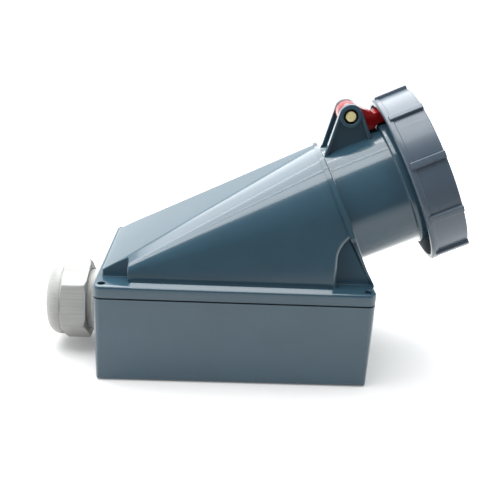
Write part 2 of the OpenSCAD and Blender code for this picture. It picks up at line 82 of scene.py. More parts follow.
class CoverSizes(bpy.types.PropertyGroup):
    """Flange and hood of the moulded cover."""
    half_l: length("Half length", "Half of the flange's length", BOX_HIGH.x)
    half_w: length("Half width", "Half of the flange's width", BOX_HIGH.y)
    flange_z: length("Flange underside", "Height of the flange's underside", SEAL_HIGH.z)
    flange_h: length("Flange height", "Height of the flange", 0.0087)
    corner_r: length("Corner radius", "Radius of the flange's upright corners", 0.006)
    edge_r: length("Edge radius", "Rounding of the flange's upper edge", 0.0018)
    hood_inset: length("Hood inset", "From the flange's long edge to the hood", 0.0086)
    hood_end_inset: length("Hood end inset", "From the flange's cable end to the hood", 0.0043)
    hood_low_h: length("Low end height", "Height of the hood at the cable end", 0.0049)
    hood_low_inset: length("Low edge inset", "From the flange's long edge to the end of the low edge", 0.0173)
    hood_round: length("Low end rounding", "Rounding of the hood at the cable end", 0.001)
    hood_sill: length("Hood sill", "Upright sill at the foot of the hood's sides", 0.0012)
    hood_step: length("Hood step", "Height of the hood's end above the tube", 0.0045)
    rim_step: length("Rim step", "Height of the rim round the hood's end", 0.0011)
    rim_t: length("Rim width", "Width of the rim round the hood's end", 0.003)
    pocket_depth: length("Pocket depth", "Depth of the screw pockets", 0.018)
    pocket_draft: angle("Pocket draft", "Draft of the pockets' back walls", 6)
    pocket_low_l: length("Low pocket length", "Length of the pockets at the cable end", 0.0226)
    pocket_high_l: length("High pocket length", "Length of the pockets at the socket end", 0.0275)
    pocket_arch_h: length("Arch height", "Height of the arched pockets", 0.040)
    pocket_arch_r: length("Arch radius", "Radius over the arched pockets", 0.020)
    arch_round: length("Arch rounding", "Rounding of the arched pockets' edges", 0.0034)
    bead_w: length("Bead width", "Width of the bead at the hood's foot", 0.0084)
    bead_h: length("Bead height", "Height of the bead at the hood's foot", 0.0019)
    bead_fade: length("Bead fade", "Length over which each end of the bead sinks in", 0.004)
    screw_inset: length("Screw inset", "Inset of the cover screws", 0.0058)
    screw_hole_r: length("Screw hole radius", "Radius of the cover screws' access holes", 0.00265)
    screw_sink: length("Screw depth", "Depth of the access holes", 0.004)


class TubeSizes(bpy.types.PropertyGroup):
    """Socket tube and the axis it stands on."""
    tilt: angle("Tilt", "Tilt of the socket's axis", 25)
    axis_x: length("Axis X", "A point on the socket's axis, along the box", 0.060)
    axis_z: length("Axis Z", "A point on the socket's axis, above the wall", 0.1108)
    tube_r: length("Tube radius", "Outer radius of the tube", 0.0432)
    bore_r: length("Bore radius", "Radius of the tube's bore", 0.040)
    tube_l: length("Tube length", "Length of the tube in front of the hood", 0.0634)
    root_r: length("Root radius", "Fillet where the tube leaves the hood's face", 0.0011)
    face_clear: length("Face clearance", "From the flange's end to the foot of the hood's face", 0.0006)
    mouth_depth: length("Mouth depth", "Depth of the wider mouth", 0.014)
    mouth_step: length("Mouth step", "How much wider the mouth is than the bore", 0.0006)
    collar_step: length("Collar step", "Height of the collar above the tube", 0.003)
    collar_l: length("Collar length", "Length of the collar", 0.008)
    collar_at: length("Collar position", "From the hood to the collar", 0.0428)


class RingSizes(bpy.types.PropertyGroup):
    """Bayonet locking ring and the ramps it runs behind."""
    ring_r: length("Ring radius", "Radius over the ribs", 0.0626)
    ring_l: length("Ring length", "Length along the axis", 0.0258)
    panel_depth: length("Panel depth", "Depth of the panels between the ribs", 0.0022)
    wall: length("Wall", "Wall behind the panels", 0.0028)
    band_l: length("Band length", "Length of the plain band at the rear", 0.0042)
    band_step: length("Band step", "Height of the band above the panels", 0.0007)
    rib_w: length("Rib width", "Width of a rib", 0.0046)
    rib_count: IntProperty(name="Ribs", description="Number of ribs", default=10, min=3)
    rib_phase: angle("Rib phase", "Angle of the first rib from the top", 65.4)
    front_gap: length("Front gap", "From the tube's mouth to the ring's front", 0.0086)
    lip_t: length("Lip", "Thickness of the front lip", 0.0016)
    lip_w: length("Lip width", "Width of the front lip", 0.0085)
    lug_at: length("Lug position", "From the ring's rear to its lugs", 0.0026)
    lug_l: length("Lug length", "Length of a lug along the axis", 0.004)
    lug_sweep: angle("Lug sweep", "Angle that a lug takes up", 24)
    ramp_gap: angle("Ramp gap", "Angle between a ramp and the unlocked lug", 8)
    ramp_sweep: angle("Ramp sweep", "Angle that a ramp takes up", 32)
    ramp_l: length("Ramp length", "Length of a ramp along the axis", 0.0042)


class HingeSizes(bpy.types.PropertyGroup):
    """Ears, the pad they stand on, and the dark rubber block under the lid's arm that is painted shade in the
    gap below the arm.
    """
    pin_at: length("Pin position", "From the hood to the hinge pin", 0.0274)
    pin_n: length("Pin height", "Height of the pin above the axis", 0.0605)
    pin_r: length("Pin radius", "Radius of the hinge pin", 0.0034)
    pin_clear: length("Pin clearance", "Room round the pin in its hole", 0.0001)
    recess_w: length("Recess width", "Width of the recess round the pin's end", 0.0018)
    recess_d: length("Recess depth", "Depth of the recess round the pin's end", 0.0022)
    ear_r: length("Ear radius", "Radius of the ear round the pin", 0.0082)
    ear_t: length("Ear thickness", "Thickness of an ear", 0.005)
    ear_gap: length("Ear gap", "Gap between the ears", 0.018)
    ear_rim: length("Ear rim", "Width of the raised rim", 0.0016)
    ear_recess: length("Ear recess", "Depth of the recessed web", 0.0034)
    foot_l: length("Foot length", "From the hood to the front of the ear's foot", 0.036)
    # The rubber block under the lid's arm is painted shade: a black piece where the arm's shadow darkens the
    # gap.
    shade_block_w: length("Stop width", "Width of the rubber stop under the lid's arm", 0.014)
    shade_block_at: length("Stop position", "From the hood to the rubber stop", 0.0325)
    shade_block_l: length("Stop length", "Length of the rubber stop", 0.009)
    shade_block_h: length("Stop height", "Height of the rubber stop above the tube", 0.0018)


class GlandSizes(bpy.types.PropertyGroup):
    """Dome nut of the cable gland."""
    axis_z: length("Gland height", "Height of the gland's axis", 0.0345)
    nut_at: length("Nut position", "From the box's end to the nut", 0.0115)
    across_flats: length("Across flats", "Width of the nut across its flats", 0.0534)
    hex_l: length("Hexagon length", "Length of the hexagon", 0.019)
    dome_l: length("Dome length", "Length of the dome", 0.011)
    dome_step: length("Dome step", "Height of the dome above the flats", 0.0006)
    nose_r: length("Nose radius", "Rounding of the dome's nose", 0.0092)
    bore_r: length("Bore radius", "Radius of the opening", 0.0143)
    neck_r: length("Neck room", "Radius of the room for the gland's neck", 0.0228)
    turn: angle("Turn", "Turn of the hexagon", 12)


class Finishes(bpy.types.PropertyGroup):
    """Colours of the mouldings and metals."""
    housing: colour("Housing", "Blue-grey of the box and the cover", (0.027, 0.064, 0.092))
    ring: colour("Ring", "Grey of the locking ring", (0.062, 0.085, 0.113))
    lid: colour("Lid", "Red of the lid", (0.250, 0.004, 0.005))
    gland: colour("Gland", "Off-white of the gland", (0.335, 0.333, 0.320))
    carrier: colour("Carrier", "Dark grey of the contact carrier", (0.030, 0.033, 0.037))
    rubber: colour("Rubber", "Black of the seals", (0.010, 0.010, 0.011))
    brass: colour("Brass", "Brass of the sleeves", (0.86, 0.66, 0.27))
    bright_brass: colour("Bright brass", "Polished brass of the hinge pin", (1.0, 0.87, 0.44))
    steel: colour("Steel", "Zinc of the inner screws", (0.62, 0.63, 0.64))
    black_steel: colour("Black steel", "Blackened steel of the cover screws", (0.020, 0.020, 0.022))


class StageSettings(bpy.types.PropertyGroup):
    """Camera and floor."""
    target: FloatVectorProperty(
        name="Target", description="Point the camera looks at", default=(0.01079, 0.0, 0.07886),
        subtype="XYZ", unit="LENGTH")
    azimuth: angle("Azimuth", "Camera's turn about the upright", -2.8)
    elevation: angle("Elevation", "Camera's height above the horizon", 21.2)
    roll: angle("Roll", "Camera's roll", 3.11)
    distance: length("Distance", "From the target to the camera", 0.52486)
    lens: FloatProperty(name="Lens", description="Focal length in millimetres", default=50.41)
    floor: colour("Floor", "White of the floor", (0.62, 0.61, 0.603))


# Shared shapes
def settings():
    return bpy.context.scene.socket_settings


def lerp(a, b, t):
    return a + (b - a) * t


def quarter(steps):
    """Cosine and sine at even steps of a quarter turn."""
    turns = [math.pi / 2 * k / steps for k in range(steps + 1)]
    return [(math.cos(turn), math.sin(turn)) for turn in turns]


def circle(radius, count):
    """A round outline."""
    turns = [2 * math.pi * i / count for i in range(count)]
    return [(radius * math.cos(turn), radius * math.sin(turn)) for turn in turns]


def fillet(corners, steps=5):
    """A closed outline with each corner (x, y, radius) rounded."""
    outline = []
    count = len(corners)
    for i in range(count):
        x, y, radius = corners[i]
        here = Vector((x, y))
        back = Vector(corners[i - 1][:2]) - here
        ahead = Vector(corners[(i + 1) % count][:2]) - here
        turn = back.angle(ahead)
        reach = radius / math.tan(turn / 2) if radius else 0
        reach = min(reach, back.length * 0.49, ahead.length * 0.49)
        if reach < 1e-6:
            outline.append((x, y))
            continue
        radius = reach * math.tan(turn / 2)
        middle = (back.normalized() + ahead.normalized()).normalized()
        centre = here + middle * (radius / math.sin(turn / 2))
        start = here + back.normalized() * reach - centre
        end = here + ahead.normalized() * reach - centre
        sweep = start.angle_signed(end)
        for k in range(steps + 1):
            spoke = start.copy()
            spoke.rotate(Matrix.Rotation(-sweep * k / steps, 2))
            outline.append(tuple(centre + spoke))
    return outline


def plan(half_l, half_w, radius, steps=9):
    """A rounded rectangle round the origin."""
    corners = [(half_l, half_w, radius), (-half_l, half_w, radius),
               (-half_l, -half_w, radius), (half_l, -half_w, radius)]
    return fillet(corners, steps)


def skin(rings, close_rings=False):
    """Vertices and faces of a skin over rings with the same number of points."""
    size = len(rings[0])
    verts = [p for ring in rings for p in ring]
    faces = []
    rows = len(rings)
    for j in range(rows if close_rings else rows - 1):
        a, b = j * size, (j + 1) % rows * size
        for i in range(size):
            k = (i + 1) % size
            faces.append((a + i, a + k, b + k, b + i))
    if not close_rings:
        faces.append(tuple(range(size - 1, -1, -1)))
        faces.append(tuple(range((rows - 1) * size, rows * size)))
    return verts, faces


def add_object(name, data):
    made = bpy.data.objects.new(name, data)
    bpy.context.scene.collection.objects.link(made)
    return made


@contextmanager
def edited(mesh):
    """A mesh opened for editing and written back at the end."""
    shape = bmesh.new()
    shape.from_mesh(mesh)
    yield shape
    shape.to_mesh(mesh)
    shape.free()


def mesh_object(name, verts, faces):
    mesh = bpy.data.meshes.new(name)
    mesh.from_pydata([tuple(v) for v in verts], [], faces)
    with edited(mesh) as shape:
        bmesh.ops.recalc_face_normals(shape, faces=shape.faces)
    return add_object(name, mesh)


def prism(name, outline, place, near, far):
    """An outline drawn out from near to far; place(u, v, w) gives the point."""
    rings = [[place(u, v, w) for u, v in outline] for w in (near, far)]
    return mesh_object(name, *skin(rings))


def lathe(name, profile, place, segments):
    """A closed profile of (along, radius) turned round an axis."""
    rings = []
    for i in range(segments):
        turn = 2 * math.pi * i / segments
        rings.append([place(s, r * math.sin(turn), r * math.cos(turn)) for s, r in profile])
    return mesh_object(name, *skin(rings, close_rings=True))


def opposite_sectors(name, profile, first, sweep, steps):
    """A profile turned through a sector on each side of the socket's axis."""
    made = []
    for half in (0, math.pi):
        turns = [half + first + sweep * k / steps for k in range(steps + 1)]
        rings = [[round_axis(s, r, -turn) for s, r in profile] for turn in turns]
        made.append(mesh_object(name, *skin(rings)))
    return join(made)


def join(pieces):
    """Puts several meshes into the first one."""
    shape = bmesh.new()
    for piece in pieces:
        shape.from_mesh(piece.data)
    shape.to_mesh(pieces[0].data)
    shape.free()
    for piece in pieces[1:]:
        bpy.data.objects.remove(piece)
    return pieces[0]


def carve(piece, cutters):
    """Cuts other shapes out of a piece and removes them."""
    for cutter in cutters:
        cut = piece.modifiers.new("cut", "BOOLEAN")
        cut.object = cutter
        cut.operation = "DIFFERENCE"
        cut.solver = "EXACT"
    graph = bpy.context.evaluated_depsgraph_get()
    made = bpy.data.meshes.new_from_object(piece.evaluated_get(graph))
    piece.modifiers.clear()
    piece.data = made
    for cutter in cutters:
        bpy.data.objects.remove(cutter)


def soften(piece, width, segments=3, limit=35, harden=True):
    """Rounds a piece's edges that are sharper than the limit in degrees."""
    bevel = piece.modifiers.new("soft_edges", "BEVEL")
    bevel.width = width
    bevel.segments = segments
    bevel.limit_method = "ANGLE"
    bevel.angle_limit = math.radians(limit)
    bevel.harden_normals = harden
    bevel.miter_outer = "MITER_ARC"
    piece.data.shade_smooth()
    return bevel


def finish_piece(piece, finish, body, sharp=38):
    """Smooth shading, a finish and the body that carries the piece."""
    piece.data.materials.clear()
    piece.data.materials.append(finish_named(finish))
    piece.data.shade_smooth()
    piece.data.set_sharp_from_angle(angle=math.radians(sharp))
    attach(piece, body)


def finish_moulding(piece, sharp=38):
    """The housing's finish on a piece of the cover."""
    finish_piece(piece, "housing_plastic", "housing", sharp)


def dress_node(node, finish, bevel=0.0, segments=2):
    """Gives a solid its finish, and rounds its hard edges where bevel is set."""
    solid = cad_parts[node]
    solid.data.materials.clear()
    solid.data.materials.append(finish_named(finish))
    weld = solid.modifiers.new("weld", "WELD")
    weld.merge_threshold = 0.000002
    if bevel:
        soften(solid, bevel, segments, 32)


# The socket's axis
def on_axis(s, y, n):
    """A point by its distance along the socket's axis, across it and above it."""
    t = settings().tube
    c, k = math.cos(t.tilt), math.sin(t.tilt)
    return Vector((t.axis_x + s * c - n * k, y, t.axis_z + s * k + n * c))


def round_axis(s, radius, turn):
    """A point by its distance along the socket's axis, its radius and its turn from the top."""
    return on_axis(s, radius * math.sin(turn), radius * math.cos(turn))


def axis_direction():
    return (on_axis(1, 0, 0) - on_axis(0, 0, 0)).normalized()


def flange_top():
    c = settings().cover
    return c.flange_z + c.flange_h


def face_s():
    """Where the hood's face stands on the socket's axis."""
    t, c = settings().tube, settings().cover
    return ((c.half_l - t.face_clear - t.axis_x) * math.cos(t.tilt)
            + (flange_top() - t.axis_z) * math.sin(t.tilt))


def ring_ends():
    """Where the locking ring starts and ends on the socket's axis."""
    t, g = settings().tube, settings().ring
    front = face_s() + t.tube_l + g.front_gap
    return front - g.ring_l, front


# Shader nodes
def feed(tree, node, inputs):
    """Sets a node's inputs, each to a value or to another node's output."""
    for key, value in inputs.items():
        if isinstance(value, bpy.types.NodeSocket):
            tree.links.new(value, node.inputs[key])
        else:
            node.inputs[key].default_value = value


def add_node(tree, kind, inputs, **fields):
    """A shader node with its fields and its inputs set."""
    node = tree.nodes.new("ShaderNode" + kind)
    for key, value in fields.items():
        setattr(node, key, value)
    feed(tree, node, inputs)
    return node


def reckon(tree, operation, *values):
    """The result of a sum on numbers."""
    return add_node(tree, "Math", dict(enumerate(values)), operation=operation).outputs["Value"]


def map_range(tree, value, low, high, to_low=0.0, to_high=1.0, kind="LINEAR"):
    """A value taken from one range to another."""
    inputs = {"Value": value, "From Min": low, "From Max": high, "To Min": to_low, "To Max": to_high}
    return add_node(tree, "MapRange", inputs, interpolation_type=kind).outputs["Result"]


def scaled(tree, vector, scale):
    """A colour or vector times a number."""
    return add_node(tree, "VectorMath", {0: vector, "Scale": scale}, operation="SCALE").outputs["Vector"]


def new_group(name, inputs, outputs):
    """A node group with its sockets, the outputs of its input node, and its output node."""
    group = bpy.data.node_groups.new(name, "ShaderNodeTree")
    for title, kind, default in inputs:
        socket = group.interface.new_socket(name=title, in_out="INPUT", socket_type="NodeSocket" + kind)
        socket.default_value = default
    for title, kind in outputs:
        group.interface.new_socket(name=title, in_out="OUTPUT", socket_type="NodeSocket" + kind)
    return group, group.nodes.new("NodeGroupInput").outputs, group.nodes.new("NodeGroupOutput")


def moulded_skin_group():
    """Fine mould grain, slow waviness, and the change of tone and gloss that goes with them."""
    group, given, out = new_group(
        "Moulded skin",
        [("Colour", "Color", (0.1, 0.1, 0.1, 1)), ("Gloss", "Float", 0.3),
         ("Grain", "Float", 1.0), ("Mottle", "Float", 0.06)],
        [("Colour", "Color"), ("Roughness", "Float"), ("Height", "Float")])
    where = add_node(group, "TexCoord", {}).outputs["Object"]
    noises = []
    for scale, detail in ((2600, 2), (38, 3), (110, 5)):
        noise = add_node(group, "TexNoise", {"Vector": where, "Scale": scale, "Detail": detail})
        noises.append(noise.outputs["Fac"])
    grain, slow, smudge = noises
    dark = reckon(group, "SUBTRACT", 1, given["Mottle"])
    pale = reckon(group, "ADD", 1, given["Mottle"])
    tone = map_range(group, slow, 0.3, 0.7, dark, pale)
    rough = map_range(group, smudge, 0.25, 0.75, -0.03, 0.05)
    fine = reckon(group, "MULTIPLY", grain, given["Grain"])
    feed(group, out, {
        "Colour": scaled(group, given["Colour"], tone),
        "Roughness": reckon(group, "ADD", given["Gloss"], rough),
        "Height": reckon(group, "MULTIPLY_ADD", slow, 0.4, fine)})


def drawn_lines_group():
    """Fine parallel lines along one direction, as a tool or a mould leaves them."""
    group, given, out = new_group(
        "Drawn lines",
        [("Count", "Float", 900.0), ("Stretch", "Vector", (1, 1, 1))],
        [("Height", "Float"), ("Tone", "Float")])
    where = add_node(group, "TexCoord", {}).outputs["Object"]
    stretched = add_node(group, "Mapping", {"Vector": where, "Scale": given["Stretch"]}).outputs["Vector"]
    noise = add_node(group, "TexNoise", {"Vector": stretched, "Scale": given["Count"], "Detail": 3})
    lines = noise.outputs["Fac"]
    feed(group, out, {"Height": lines, "Tone": map_range(group, lines, 0.35, 0.65, 0.88, 1.04)})


# Materials
# Depth of the mould grain and of the drawn lines
GRAIN_DEPTH = 0.00006
LINE_DEPTH = 0.0002


def principled(name):
    material = bpy.data.materials.new(name)
    material.use_nodes = True
    return material, material.node_tree, material.node_tree.nodes["Principled BSDF"]


def group_node(tree, name, inputs):
    return add_node(tree, "Group", inputs, node_tree=bpy.data.node_groups[name]).outputs


def relief(tree, height, strength, depth):
    """The normal of a surface with a fine relief."""
    inputs = {"Height": height, "Strength": strength, "Distance": depth}
    return add_node(tree, "Bump", inputs).outputs["Normal"]


def moulded(name, tint, gloss, grain, mottle, bump, coat=0.0, specular=0.5):
    """A moulded plastic or rubber."""
    material, tree, shader = principled(name)
    surface = group_node(tree, "Moulded skin", {
        "Colour": (*tint, 1), "Gloss": gloss, "Grain": grain, "Mottle": mottle})
    feed(tree, shader, {
        "Base Color": surface["Colour"], "Roughness": surface["Roughness"], "IOR": 1.5,
        "Specular IOR Level": specular, "Normal": relief(tree, surface["Height"], bump, GRAIN_DEPTH)})
    if coat:
        feed(tree, shader, {"Coat Weight": coat, "Coat Roughness": 0.04})
    return material


def lined(name, tint, gloss, stretch, count, bump, metallic=0.0):
    """A surface with fine drawn lines: turned metal, or the gland's nylon."""
    material, tree, shader = principled(name)
    surface = group_node(tree, "Moulded skin", {"Colour": (*tint, 1), "Gloss": gloss})
    lines = group_node(tree, "Drawn lines", {"Count": count, "Stretch": stretch})
    feed(tree, shader, {
        "Base Color": scaled(tree, surface["Colour"], lines["Tone"]), "Roughness": surface["Roughness"],
        "Metallic": metallic, "Normal": relief(tree, lines["Height"], bump, LINE_DEPTH)})
    return material


def finish_named(name):
    """The material of that name, made on first use."""
    found = bpy.data.materials.get(name)
    if found:
        return found
    if "Moulded skin" not in bpy.data.node_groups:
        moulded_skin_group()
        drawn_lines_group()
    f = settings().finishes
    mouldings = {
        "housing_plastic": dict(tint=f.housing, gloss=0.15, grain=0.5, mottle=0.05, bump=0.12, coat=0.35),
        "ring_plastic": dict(tint=f.ring, gloss=0.30, grain=0.6, mottle=0.05, bump=0.18, coat=0.15),
        "lid_plastic": dict(tint=f.lid, gloss=0.17, grain=0.5, mottle=0.06, bump=0.16),
        "carrier_plastic": dict(tint=f.carrier, gloss=0.45, grain=1.2, mottle=0.08, bump=0.5),
        "seal_rubber": dict(tint=f.rubber, gloss=0.65, grain=1.5, mottle=0.1, bump=0.6, specular=0.12),
    }
    if name in mouldings:
        return moulded(name, **mouldings[name])
    pin_lines = dict(stretch=(1, 0.1, 1), count=900, bump=0.1)
    screw_lines = dict(stretch=(1, 1, 0.1), count=1500, bump=0.12)
    drawn = {
        "gland_nylon": dict(tint=f.gland, gloss=0.42, stretch=(0.03, 1, 1), count=1300, bump=0.25),
        "brass": dict(tint=f.brass, gloss=0.24, metallic=1.0, **pin_lines),
        "bright_brass": dict(tint=f.bright_brass, gloss=0.30, metallic=0.4, **pin_lines),
        "black_steel": dict(tint=f.black_steel, gloss=0.38, metallic=1.0, **screw_lines),
        "zinc_steel": dict(tint=f.steel, gloss=0.32, metallic=1.0, **screw_lines),
    }
    return lined(name, **drawn[name])


class SOCKET_OT_stage(bpy.types.Operator):
    """Set up the camera, the pale floor and the soft studio light"""
    bl_idname = "socket.stage"
    bl_label = "Stage"

    def execute(self, context):
        s = settings().stage
        self.camera(s)
        self.floor(s)
        self.world()
        self.lights()
        context.scene.view_settings.view_transform = "Standard"
        return {"FINISHED"}

    def camera(self, s):
        data = bpy.data.cameras.new("photo_camera")
        data.lens = s.lens
        data.sensor_width = 36
        data.clip_start = 0.01
        data.clip_end = 200
        camera = add_object("photo_camera", data)
        back = Vector((math.sin(s.azimuth) * math.cos(s.elevation),
                       -math.cos(s.azimuth) * math.cos(s.elevation), math.sin(s.elevation)))
        right = Vector((math.cos(s.azimuth), math.sin(s.azimuth), 0))
        up = back.cross(right)
        across = math.cos(s.roll) * right + math.sin(s.roll) * up
        upright = -math.sin(s.roll) * right + math.cos(s.roll) * up
        turn = Matrix((across, upright, back)).transposed().to_4x4()
        camera.matrix_world = Matrix.Translation(Vector(s.target) + back * s.distance) @ turn
        bpy.context.scene.camera = camera

    def floor(self, s):
        reach, corner, thickness = 60.0, 1.0, 0.02
        rings = [[(x, y, z) for x, y in plan(reach, reach, corner)] for z in (-thickness, 0.0)]
        floor = mesh_object("floor", *skin(rings))
        floor.data.materials.append(self.paper(s))

    def paper(self, s):
        """White paper whose painted glowing fills the part's cast shadow, least near the cable end so the
        contact shadow there stays; in front of the part it is white to the camera and dim to reflections and
        bounced light.
        """
        material, tree, shader = principled("floor_paper")
        where = add_node(tree, "TexCoord", {}).outputs["Object"]
        # Painted light: the emission is least round this point by the gland, so the contact shadow there
        # stays, and rises further off to fill the cast shadow.
        kept_shadow_point = (-0.16, 0, 0)
        from_kept_shadow = add_node(tree, "VectorMath", {0: where, 1: kept_shadow_point}, operation="DISTANCE").outputs["Value"]
        shadow_fill_glow = map_range(tree, from_kept_shadow, 0.2, 0.8, 0.12, 1.0, "SMOOTHSTEP")
        depth = add_node(tree, "SeparateXYZ", {"Vector": where}).outputs["Y"]
        front = map_range(tree, depth, -0.45, -0.16, kind="SMOOTHSTEP")
        seen = add_node(tree, "LightPath", {}).outputs["Is Camera Ray"]
        dim = map_range(tree, seen, 0.0, 1.0, 0.2, 1.0)
        beyond = add_node(tree, "Mix", {"Factor": front, "A": dim, "B": shadow_fill_glow}).outputs["Result"]
        feed(tree, shader, {
            "Base Color": scaled(tree, s.floor, front), "Roughness": 0.9, "Specular IOR Level": 0.0,
            "Emission Color": beyond, "Emission Strength": 1.0})
        return material

    def world(self):
        """A room with a bright ceiling at the back and bright side walls, white to the camera."""
        world = bpy.data.worlds.new("studio")
        world.use_nodes = True
        bpy.context.scene.world = world
        tree = world.node_tree
        where = add_node(tree, "TexCoord", {}).outputs["Generated"]
        lean = math.radians(40)
        towards = add_node(
            tree, "VectorMath", {0: where, 1: (0, math.sin(lean), math.cos(lean))}, operation="DOT_PRODUCT")
        sky = self.ramp(tree, map_range(tree, towards.outputs["Value"], -1.0, 1.0), (
            (0.0, (0.12, 0.135, 0.15)), (0.50, (0.16, 0.18, 0.20)), (0.62, (0.26, 0.285, 0.30)),
            (0.67, (0.44, 0.47, 0.49)), (0.74, (0.82, 0.88, 0.90)), (1.0, (0.90, 0.96, 0.98))))
        across = reckon(tree, "ABSOLUTE", add_node(tree, "SeparateXYZ", {"Vector": where}).outputs["X"])
        sides = map_range(tree, across, 0.65, 0.92, 0.0, 1.2, "SMOOTHSTEP")
        lit = add_node(tree, "VectorMath", {0: sky, 1: sides}).outputs["Vector"]
        seen = add_node(tree, "LightPath", {}).outputs["Is Camera Ray"]
        pale = add_node(tree, "Mix", {"Factor": seen, "A": lit, "B": (1, 1, 1, 1)}, data_type="RGBA")
        feed(tree, tree.nodes["Background"], {"Color": pale.outputs["Result"], "Strength": 1.35})

    def ramp(self, tree, value, stops):
        """A value turned into a colour by stops of (position, colour)."""
        made = add_node(tree, "ValToRGB", {"Fac": value})
        elements = made.color_ramp.elements
        while len(elements) < len(stops):
            elements.new(0.5)
        for element, (position, shade) in zip(elements, stops):
            element.position = position
            element.color = (*shade, 1)
        return made.outputs["Color"]

    def lights(self):
        """Area lights by place, the point they face, width, depth, power and whether they are mirrored."""
        rows = (("ceiling_panel", (-0.30, 0.80, 1.0), (-0.30, 0.80, 0.0), 1.2, 1.7, 27.0, True),
                ("streak_panel", (-0.30, -0.27, 1.0), (-0.30, -0.27, 0.0), 1.2, 0.30, 6.0, True),
                ("streak_lamp_back", (-0.50, 0.30, 0.97), (-0.50, 0.30, 0.0), 1.5, 0.03, 1.2, True),
                ("streak_lamp_front", (-0.50, -0.06, 0.97), (-0.50, -0.06, 0.0), 1.5, 0.03, 1.4, True),
                ("front_fill", (-0.60, -2.20, 1.60), (0.0, 0.0, 0.08), 2.0, 2.0, 8.0, False))
        for name, place, aim, width, depth, power, mirrored in rows:
            data = bpy.data.lights.new(name, "AREA")
            data.shape = "RECTANGLE"
            data.size = width
            data.size_y = depth
            data.energy = power
            light = add_object(name, data)
            light.location = place
            light.visible_glossy = mirrored
            light.rotation_euler = (Vector(aim) - Vector(place)).to_track_quat("-Z", "Y").to_euler()


class SOCKET_OT_box(bpy.types.Operator):
    """Finish the back box and the seal under the cover"""
    bl_idname = "socket.box"
    bl_label = "Back box and seal"

    def execute(self, context):
        dress_node("back_box", "housing_plastic")
        dress_node("box_seal", "seal_rubber")
        return {"FINISHED"}


class SOCKET_OT_flange(bpy.types.Operator):
    """Build the cover's flange with its rounded edge, screw holes and foot beads"""
    bl_idname = "socket.flange"
    bl_label = "Cover flange"

    def execute(self, context):
        c = settings().cover
        top = flange_top()
        lower_edge = ((0.0004, 0.0), (0.0001, 0.0002), (0.0, 0.0006))
        rows = [(inset, c.flange_z + rise) for inset, rise in lower_edge]
        rows += [(c.edge_r * (1 - a), top - c.edge_r * (1 - b)) for a, b in quarter(6)]
        rings = []
        for inset, z in rows:
            outline = plan(c.half_l - inset, c.half_w - inset, c.corner_r - inset, 12)
            rings.append([(x, y, z) for x, y in outline])
        flange = mesh_object("cover_flange", *skin(rings))
        carve(flange, self.screw_holes(top))
        soften(flange, 0.0003, 2, 50)
        finish_moulding(flange)
        self.foot_beads(top)
        return {"FINISHED"}

    def screw_holes(self, top):
        """The access holes over the cover screws, as cutters."""
        c = settings().cover
        cutters = []
        for x in SIDES:
            for y in SIDES:
                at = Vector((x * (c.half_l - c.screw_inset), y * (c.half_w - c.screw_inset), 0))
                cutters.append(prism(
                    "hole", circle(c.screw_hole_r, 48), lambda u, v, w, at=at: at + Vector((u, v, w)),
                    top - c.screw_sink, top + 2 * SINK))
        return cutters

    def foot_beads(self, top):
        """The sloped bead on the ledge in front of the hood, which sinks in before the pockets."""
        c = settings().cover
        base, gap, least_rise = top - 2 * SINK, 0.0001, 0.2
        near = -c.half_l + c.pocket_low_l + gap
        far = c.half_l - c.pocket_high_l - gap
        shares = [k / 8 for k in range(9)]
        stations = [(near + c.bead_fade * k, k) for k in shares]
        stations += [(far - c.bead_fade * k, k) for k in reversed(shares)]
        outline = fillet([
            (gap, base, 0), (gap, top - 0.0009, 0.0006), (c.bead_w * 0.44, top + c.bead_h, 0.0009),
            (c.bead_w, top - gap, 0.0004), (c.bead_w + 0.0004, base, 0)])
        made = []
        for side in SIDES:
            rings = []
            for x, k in stations:
                rise = lerp(least_rise, 1, math.sin(k * math.pi / 2))
                rings.append([(x, side * (c.half_w - v), base + (z - base) * rise) for v, z in outline])
            made.append(mesh_object("foot_beads", *skin(rings)))
        beads = join(made)
        soften(beads, 0.0003, 2, 60)
        finish_moulding(beads)


